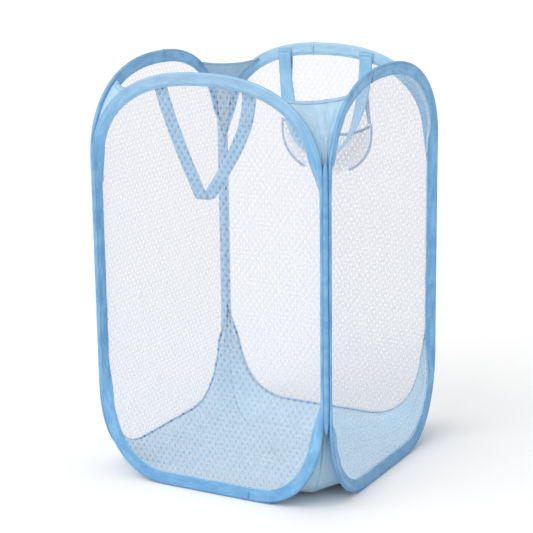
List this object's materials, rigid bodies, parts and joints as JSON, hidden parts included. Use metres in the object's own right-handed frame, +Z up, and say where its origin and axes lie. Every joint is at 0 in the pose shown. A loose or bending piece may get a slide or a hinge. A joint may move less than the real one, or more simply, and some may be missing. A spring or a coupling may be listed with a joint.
{
  "type": "pop up laundry hamper",
  "caption": "Square mesh hamper on spring wire hoops, open at the top, with a fabric floor, ribbon handles and a pocket. It folds flat about its corner seams.",
  "frame": {"origin": "on the ground under the middle of the floor, at the middle between the four panels", "axes": "+Z up, -Y out through the front panel, +X out through the right panel, and the pocket is on the back panel at +Y"},
  "size_m": [0.3678, 0.3839, 0.58],
  "materials": {
    "binding_tape": "woven polyester tape, slight sheen",
    "mesh_net": "knitted polyester mesh, soft",
    "gusset_cloth": "thin woven nylon, slight sheen",
    "floor_cloth": "thin woven nylon, slight sheen",
    "handle_ribbon": "woven polyester ribbon, slight sheen",
    "seam_thread": "sewing thread, matte",
    "spring_wire": "bare spring steel",
    "ferrule_metal": "plated crimp sleeve"
  },
  "bodies": {
    "front_panel": {"front_hoop": "spring_wire", "front_ferrule": "ferrule_metal", "front_binding": "binding_tape", "front_mesh": "mesh_net", "front_right_seam": "seam_thread", "front_right_gusset": "gusset_cloth", "floor_panel": "floor_cloth", "front_handle_left_patch": "handle_ribbon", "front_handle_right_patch": "handle_ribbon"},
    "right_panel": {"right_hoop": "spring_wire", "right_ferrule": "ferrule_metal", "right_binding": "binding_tape", "right_mesh": "mesh_net", "back_right_seam": "seam_thread", "back_right_gusset": "gusset_cloth"},
    "left_panel": {"left_hoop": "spring_wire", "left_ferrule": "ferrule_metal", "left_binding": "binding_tape", "left_mesh": "mesh_net", "front_left_seam": "seam_thread", "front_left_gusset": "gusset_cloth"},
    "back_panel": {"back_hoop": "spring_wire", "back_ferrule": "ferrule_metal", "back_binding": "binding_tape", "back_mesh": "mesh_net", "back_left_seam": "seam_thread", "back_left_gusset": "gusset_cloth", "back_handle_left_patch": "handle_ribbon", "back_handle_right_patch": "handle_ribbon", "pocket_mesh": "mesh_net", "pocket_binding": "binding_tape", "pocket_left_tape": "binding_tape", "pocket_right_tape": "binding_tape"},
    "front_handle": {"front_handle": "handle_ribbon"},
    "back_handle": {"back_handle": "handle_ribbon"}
  },
  "joints": [
    {"name": "front_right_fold", "type": "hinge", "parent": "front_panel", "child": "right_panel", "pos_m": [0.177, -0.177, 0.295], "axis": [0, 0, 1], "range_deg": [-88, 88], "deforming": ["floor_panel", "front_right_gusset"]},
    {"name": "front_left_fold", "type": "hinge", "parent": "front_panel", "child": "left_panel", "pos_m": [-0.177, -0.177, 0.295], "axis": [0, 0, 1], "range_deg": [-88, 88], "deforming": ["front_left_gusset", "back_left_gusset"]},
    {"name": "back_right_fold", "type": "hinge", "parent": "right_panel", "child": "back_panel", "pos_m": [0.177, 0.177, 0.295], "axis": [0, 0, 1], "range_deg": [-88, 88], "deforming": ["back_right_gusset"]},
    {"name": "front_handle_swing", "type": "hinge", "parent": "front_panel", "child": "front_handle", "pos_m": [0, -0.1762, 0.5628], "axis": [1, 0, 0], "range_deg": [0, 180]},
    {"name": "back_handle_swing", "type": "hinge", "parent": "back_panel", "child": "back_handle", "pos_m": [0, 0.1762, 0.5628], "axis": [-1, 0, 0], "range_deg": [0, 180]}
  ],
  "couplings": [
    {"joint": "front_left_fold", "follows": "front_right_fold", "ratio": 1},
    {"joint": "back_right_fold", "follows": "front_right_fold", "ratio": -1}
  ]
}
